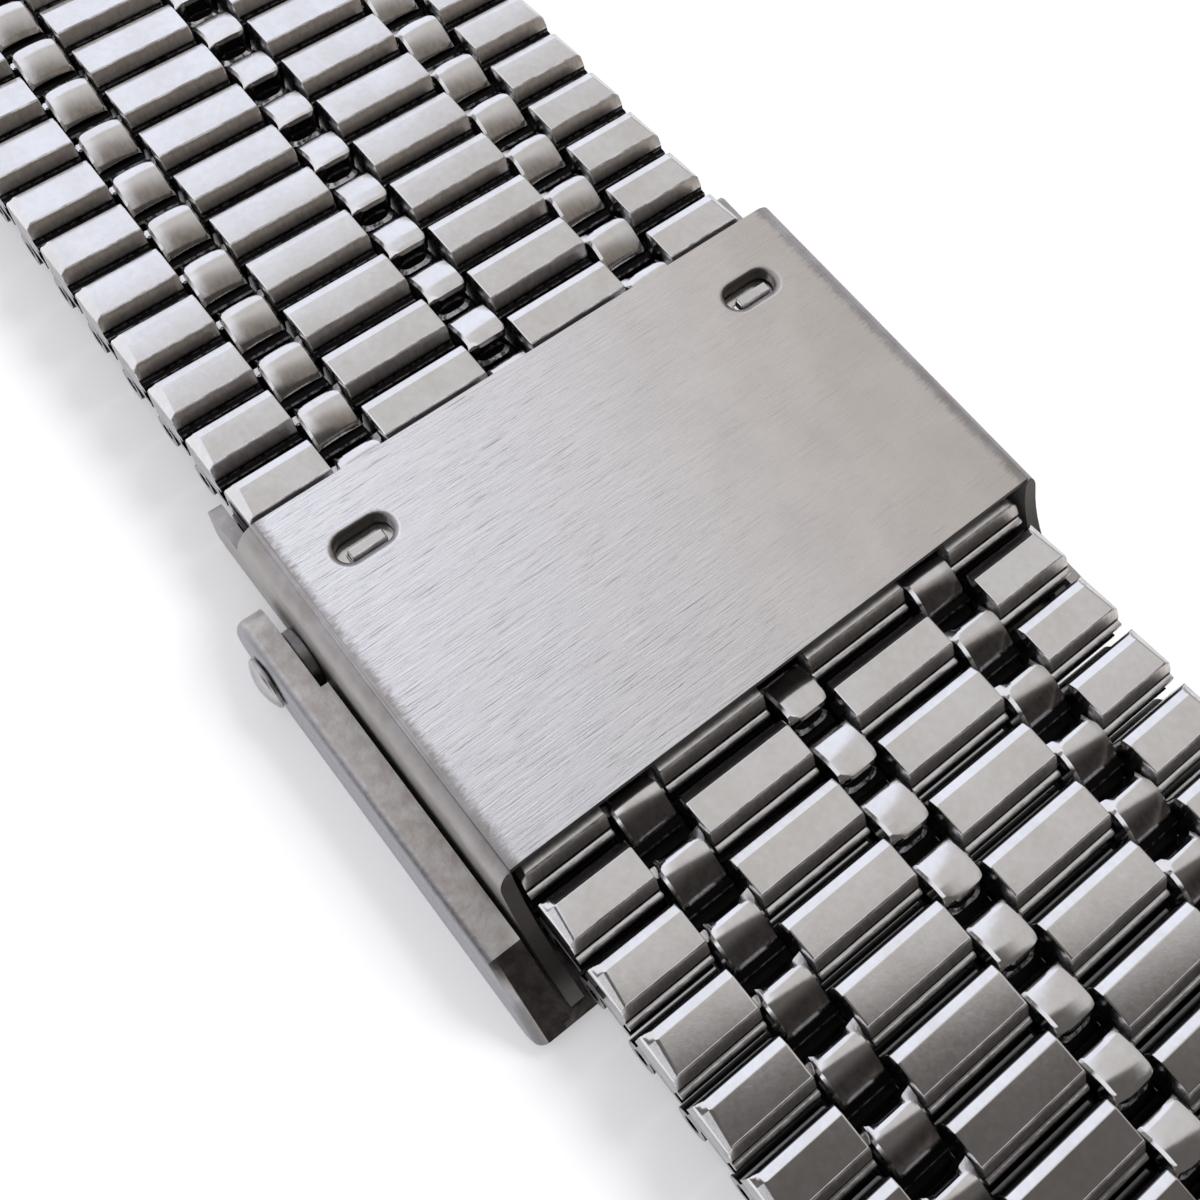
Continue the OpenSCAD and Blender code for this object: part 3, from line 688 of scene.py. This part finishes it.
def row_tree(link_steel, carrier_and_shade_steel):
    """Nodes that set out the pieces of a row in its columns, repeat the row and put it in place."""
    tree = bpy.data.node_groups.new("bracelet_row", "GeometryNodeTree")

    def give(name, kind, value=None):
        s = tree.interface.new_socket(name, in_out="INPUT", socket_type="NodeSocket" + kind)
        if value is not None:
            s.default_value = value

    give("Geometry", "Geometry")
    for name in ("Wide bar", "Edge bar", "Side bead", "Centre bead", "Carrier"):
        give(name, "Object")
    give("Rows", "Int", 1)
    give("Pitch", "Float", PITCH * MM)
    give("Side bead place", "Float", SIDE_BEAD_Y * MM)
    give("Turn", "Float", 0.0)
    give("Wire place", "Vector")
    tree.interface.new_socket("Geometry", in_out="OUTPUT", socket_type="NodeSocketGeometry")

    t = Nodes(tree)
    given = t.node("NodeGroupInput").outputs

    def piece(name):
        return t.node("GeometryNodeObjectInfo", {"Object": given[name]}).outputs["Geometry"]

    def joined(*pieces):
        join = t.node("GeometryNodeJoinGeometry")
        for geometry in pieces:
            t.feed(join.inputs[0], geometry)
        return join.outputs[0]

    def moved(geometry, **how):
        return t.node("GeometryNodeTransform", {"Geometry": geometry, **how}).outputs[0]

    def along(axis, value):
        return t.node("ShaderNodeCombineXYZ", {axis: value}).outputs[0]

    # One row: the left half, its mirror image, the centre bead and the carrier
    side = moved(piece("Side bead"), Translation=along("Y", given["Side bead place"]))
    half = joined(piece("Wide bar"), piece("Edge bar"), side)
    mirrored = t.node("GeometryNodeFlipFaces", {0: moved(half, Scale=(1, -1, 1))}).outputs[0]
    # The carrier's faces are marked for the painted black shade
    marked = t.node("GeometryNodeStoreNamedAttribute", {"Geometry": piece("Carrier"), "Name": "carrier", "Value": True},
                    data_type="BOOLEAN", domain="FACE").outputs[0]
    row = joined(half, mirrored, piece("Centre bead"), marked)
    # The rows of a body, turned with their run and moved to their wire
    line = t.node("GeometryNodeMeshLine", {"Count": given["Rows"], "Offset": along("X", given["Pitch"])}).outputs[0]
    rows = t.node("GeometryNodeInstanceOnPoints", {"Points": line, "Instance": row}).outputs[0]
    laid = t.node("GeometryNodeGeometryToInstance", {0: rows}).outputs[0]
    turned = moved(laid, Translation=given["Wire place"], Rotation=along("Y", given["Turn"]))
    real = t.node("GeometryNodeRealizeInstances", {0: turned}).outputs[0]
    steel = t.node("GeometryNodeSetMaterial", {"Geometry": real, "Material": link_steel}).outputs[0]
    # Marked faces, the carrier, the bars' folds and the bead lips, get the painted black shade
    mark = t.node("GeometryNodeInputNamedAttribute", {"Name": "carrier"}, data_type="BOOLEAN").outputs["Attribute"]
    dark = {"Geometry": steel, "Material": carrier_and_shade_steel, "Selection": mark}
    t.node("NodeGroupOutput", {0: t.node("GeometryNodeSetMaterial", dark).outputs[0]})
    return tree


def bake_row(tree, name, sources, rows, turn, place):
    """One plain mesh for a body, made by the row nodes."""
    host = placed(name + "_host", bpy.data.meshes.new(name + "_host"))
    mod = host.modifiers.new("row", "NODES")
    mod.node_group = tree
    ids = {s.name: s.identifier for s in tree.interface.items_tree if s.in_out == "INPUT"}
    for key, ob in sources.items():
        mod[ids[key]] = ob
    mod[ids["Rows"]] = rows
    mod[ids["Pitch"]] = PITCH * MM
    mod[ids["Side bead place"]] = SIDE_BEAD_Y * MM
    mod[ids["Turn"]] = turn
    mod[ids["Wire place"]] = place
    graph = bpy.context.evaluated_depsgraph_get()
    mesh = bpy.data.meshes.new_from_object(host.evaluated_get(graph))
    mesh.name = name
    host.modifiers.remove(mod)
    bpy.data.objects.remove(host)
    for layer in [a for a in mesh.attributes if a.name == "carrier"]:
        mesh.attributes.remove(layer)
    return placed(name, mesh)


def wire_of(body):
    """Where the wire lies that a body turns on, in metres."""
    return Vector(JOINTS[body + "_hinge"]["pos_m"])


def under_beads(carrier):
    """Adds what lies under the beads: what closes the slits between rows, and the centre base."""
    # These pieces join the carrier, so their tops get its painted black shade
    bm = bmesh.new()
    bm.from_mesh(carrier.data)
    cut = bmesh.new()
    side = SIDE_GAP / 2 - TAB_CLEAR
    for y, half in ((-SIDE_BEAD_Y, side), (0.0, CENTRE_GAP / 2 - TAB_CLEAR), (SIDE_BEAD_Y, side)):
        for from_x, to_x, wider, low, high in UNDER_BEAD:
            reach = half + wider
            block(cut, (from_x, y - reach, SEAT_Z - low), (to_x, y + reach, SEAT_Z - high))
    centre_base(cut)
    bmesh.ops.recalc_face_normals(cut, faces=cut.faces)
    bmesh.ops.scale(cut, vec=Vector((MM, MM, MM)), verts=cut.verts)
    strips = bpy.data.meshes.new("strips")
    cut.to_mesh(strips)
    cut.free()
    bm.from_mesh(strips)
    bm.to_mesh(carrier.data)
    bm.free()
    bpy.data.meshes.remove(strips)


def build_rows(link_steel, carrier_and_shade_steel):
    """Makes the pieces of a row, and from them the rows of every body."""
    # The carrier and the wire come from a level row, moved to the wire at the origin
    level = "near_row_06"
    home = wire_of(level)

    def inner(solid):
        ys = [v.co.y for v in solid]
        return max(ys) - min(ys) > ACROSS_BAND * MM

    carrier = cad_copy(level, "carrier", keep=inner, shift=-home)
    under_beads(carrier)
    beads = side_bead(), centre_bead()
    kinds = {}
    for side, crease, fall in (("far", CREASE_FAR_ROWS, SLOPE_FALL_FAR_ROWS), ("near", CREASE, SLOPE_FALL)):
        kinds[side] = {"Wide bar": bar("wide_bar_" + side, WIDE_IN, WIDE_OUT, False, crease, fall),
                       "Edge bar": bar("edge_bar_" + side, HALF_W - EDGE_BAR_W, HALF_W, True, crease, fall),
                       "Side bead": beads[0], "Centre bead": beads[1], "Carrier": carrier}
    tree = row_tree(link_steel, carrier_and_shade_steel)
    done = []
    for side in ("far", "near"):
        bodies = sorted(n for n in frame["bodies"] if n.startswith(side + "_row_"))
        wires = [wire_of(body) for body in bodies + ["end_link_" + side]]
        for body, inner_wire, outer_wire in zip(bodies, wires, wires[1:]):
            own, turning = (outer_wire, inner_wire) if side == "far" else (inner_wire, outer_wire)
            run = turning - own
            ob = bake_row(tree, body.replace("row", "link"), kinds[side], 1, math.atan2(-run.z, run.x), own)
            done.append((ob, body, [body]))
    clasp_rows = [n for n in sorted(frame["nodes"]) if n.startswith("near_row_") and n not in frame["bodies"]]
    own = home - Vector((len(clasp_rows) * PITCH * MM, 0, 0))
    done.append((bake_row(tree, "tail_links", kinds["near"], len(clasp_rows), 0.0, own), "tail", clasp_rows))
    for ob in {ob for kind in kinds.values() for ob in kind.values()}:
        bpy.data.objects.remove(ob)
    for ob, body, nodes in done:
        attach(ob, body)
        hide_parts(*nodes)


# Clasp and end links

def dressed(node, body, mat, ease, on_edge=None, shape=None):
    """A CAD node's merged copy with eased edges and its finish, in the node's place."""
    ob = cad_copy(node, node + "_piece", ease, on_edge)
    if shape:
        shape(ob)
    ob.data.materials.append(mat)
    weigh = ob.modifiers.new("flat_faces_first", "WEIGHTED_NORMAL")
    weigh.keep_sharp = True
    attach(ob, body)
    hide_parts(node)


def cover_edges(mid):
    """The cover's edges but for those round the hollow near ends of its walls."""
    return mid.x < NEAR_EDGE - 0.02


def low_edges(mid):
    """The lock plate's edges but for the upper ones of its left wall."""
    return not (mid.y < LOCK_WALL_Y and mid.z > WALL_LOW_Z)


def soft_wall(ob):
    """Rounds the outer edge of the lock plate's left wall, its lug and its near corner, and adds the inner rim."""
    bm = bmesh.new()
    bm.from_mesh(ob.data)
    outer = min(v.co.y for v in bm.verts) / MM
    top = max(v.co.z for v in bm.verts) / MM
    near = max(v.co.x for v in bm.verts) / MM
    for share in (0.045, 0.14, 0.28, 0.45, 0.70, 1.0):
        geom = bm.verts[:] + bm.edges[:] + bm.faces[:]
        cut_y = (outer + share * WALL_ROUND_R) * MM
        bmesh.ops.bisect_plane(bm, geom=geom, plane_co=(0, cut_y, 0), plane_no=(0, 1, 0), dist=1e-7)
    lug_x = min(v.co.x for v in bm.verts if v.co.z > LUG_FROM_Z * MM) / MM + LUG_R
    lug_z = top - LUG_R
    for v in bm.verts:
        d = v.co.y / MM - outer
        if d >= WALL_ROUND_R - 1e-4:
            continue
        x, z = v.co.x / MM, v.co.z / MM
        down = eased(d, WALL_ROUND_R)
        if x < lug_x and math.hypot(x - lug_x, z - lug_z) > LUG_R - 0.02:
            share = (LUG_R - down) / LUG_R
            x, z = lug_x + (x - lug_x) * share, lug_z + (z - lug_z) * share
        elif z > top - 0.01:
            z -= down
        elif x > near - 0.3:
            x -= down
        v.co.x, v.co.z = x * MM, z * MM
    # A rolled rim inside the wall, clear of the washer and of the cover
    slant = LOCK_SLOPE / (top - LOCK_FOOT_Z)
    low_near = near - (WALL_LOW_Z - LOCK_FOOT_Z) * slant - 0.02
    outline = [(WASHER_END, top), (near - LOCK_SLOPE, top), (low_near, WALL_LOW_Z), (WASHER_END, WALL_LOW_Z)]
    inside = outer + LOCK_WALL_T
    loft(bm, [[(x * MM, y * MM, z * MM) for x, z in outline] for y in (inside, inside + WALL_RIM)])
    bm.to_mesh(ob.data)
    bm.free()
    smooth(ob.data, SHARP_DEG)


# Table, light and camera

def bare_material(name):
    """A material without nodes, and short calls for its tree."""
    mat = bpy.data.materials.new(name)
    mat.use_nodes = True
    mat.node_tree.nodes.clear()
    return mat, Shading(mat.node_tree)


def table_top():
    """White table that keeps the shadow; from below it is clear, so that the underside can be seen."""
    bpy.ops.mesh.primitive_plane_add(size=TABLE_SIZE, location=(0, 0, 0))
    table = bpy.context.object
    table.name = "table_top"
    mat, s = bare_material("pale_table")
    ray = s.node("ShaderNodeLightPath").outputs
    reach = s.node("ShaderNodeVectorMath", {0: s.coord.outputs["Object"]}, operation="LENGTH").outputs["Value"]
    share = s.times(s.most(ray["Is Camera Ray"], ray["Is Glossy Ray"]), s.span(reach, 0.12, 0.40, 0.22, 1.0))
    white = s.node("ShaderNodeBsdfDiffuse", {"Color": (0.93, 0.93, 0.93)}).outputs[0]
    top = s.over(share, white, s.glow((1.0, 1.0, 1.0)))
    below = s.node("ShaderNodeNewGeometry").outputs["Backfacing"]
    s.node("ShaderNodeOutputMaterial", {"Surface": s.over(below, top, s.clear())})
    table.data.materials.append(mat)


def studio():
    """Room light by direction: a bright wall behind the far rows, grey above, dark towards +X."""
    world = bpy.data.worlds.new("studio")
    bpy.context.scene.world = world
    world.use_nodes = True
    world.node_tree.nodes.clear()
    s = Shading(world.node_tree)
    direction = s.parts(s.coord.outputs["Generated"])
    x, y = direction["X"], direction["Y"]
    lean = s.calc("SUBTRACT", x, s.times(y, SLANT))
    far = s.calc("SUBTRACT", s.times(x, -1.0), s.times(s.most(y, 0.0), 0.10))
    sky = s.blend(s.ramp(lean, -0.20, 0.25), (0.67, 0.65, 0.645), (0.42, 0.38, 0.35))
    sky = s.blend(s.ramp(y, 0.62, 0.85), sky, (0.42, 0.40, 0.39))
    sky = s.blend(s.ramp(far, 0.47, 0.56), sky, (1.01, 1.04, 1.16))
    sky = s.blend(s.ramp(s.times(y, -1.0), -0.06, 0.14), sky, (1.0, 1.0, 1.06))
    seen = s.node("ShaderNodeLightPath").outputs["Is Camera Ray"]
    back = s.node("ShaderNodeBackground", {"Color": s.blend(seen, sky, (1.0, 1.0, 1.0)), "Strength": 1.0})
    s.node("ShaderNodeOutputWorld", {0: back.outputs[0]})

    lamp = bpy.data.lights.new("soft_lamp", "AREA")
    lamp.shape = "DISK"
    lamp.size = LAMP_SIZE
    lamp.energy = LAMP_ENERGY
    ob = placed("soft_lamp", lamp)
    ob.location = LAMP_PLACE
    ob.rotation_euler = (-ob.location).to_track_quat("-Z", "Y").to_euler()
    ob.visible_glossy = False


def dark_flag():
    """A dark flag over the near rows, which only shows in their reflections."""
    (x0, y0), (x1, y1) = FLAG_FROM, FLAG_TO
    mesh = bpy.data.meshes.new("dark_flag")
    mesh.from_pydata([(x, y, FLAG_Z) for x, y in ((x0, y0), (x1, y0), (x1, y1), (x0, y1))], [], [(0, 1, 2, 3)])
    flag = placed("dark_flag", mesh)
    mat, s = bare_material("flag_cloth")
    x, y = s.place("X"), s.place("Y")
    # Soft edges towards the clasp and at the right, and a lighter cloth far out
    along = s.plus(x, s.times(y, -SLANT))
    share = s.times(s.ramp(along, 0.0115, 0.0195), s.ramp(y, 0.090, 0.065))
    shade = s.blend(s.span(x, 0.115, 0.165), (0.115, 0.105, 0.10), (0.36, 0.325, 0.30))
    s.node("ShaderNodeOutputMaterial", {"Surface": s.over(share, s.clear(), s.glow(shade))})
    mesh.materials.append(mat)
    flag.visible_camera = False
    flag.visible_diffuse = False
    flag.visible_shadow = False
    flag.visible_transmission = False


def photo_camera():
    """The camera fitted to the photograph's rows and columns."""
    cam = bpy.data.cameras.new("photo_camera")
    cam.sensor_width = 36.0
    cam.sensor_fit = "HORIZONTAL"
    cam.lens = CAMERA_LENS
    cam.clip_start = 0.001
    cam.clip_end = 10.0
    ob = placed("photo_camera", cam)
    ob.location = CAMERA_PLACE
    ob.rotation_euler = Euler([math.radians(a) for a in CAMERA_DEG], "XYZ")
    bpy.context.scene.camera = ob


bpy.context.scene.view_settings.view_transform = "Standard"
table_top()
studio()
dark_flag()
photo_camera()

link_steel = satin_links()
carrier_and_shade_steel = carrier_steel_and_shade()
cover_steel = brushed_cover()
lock_steel = lock_sheet()
pin_steel = satin_sheet("pin_steel", (0.50, 0.49, 0.495), (0.38, 0.37, 0.37), 0.30)
washer_steel = satin_sheet("washer_steel", (0.30, 0.29, 0.285), (0.20, 0.19, 0.185), 0.34)
tube_steel = satin_sheet("end_link_steel", (0.74, 0.735, 0.73), (0.69, 0.68, 0.67), 0.24)

build_rows(link_steel, carrier_and_shade_steel)
dressed("cover", "clasp", cover_steel, 0.06, cover_edges)
dressed("anchor_link", "clasp", link_steel, 0.04)
dressed("lock_plate", "lock", lock_steel, 0.03, low_edges, soft_wall)
dressed("lock_pin", "clasp", pin_steel, 0.04)
dressed("lock_washers", "clasp", washer_steel, 0.03)
dressed("end_link_far", "end_link_far", tube_steel, 0.05)
dressed("end_link_near", "end_link_near", tube_steel, 0.05)
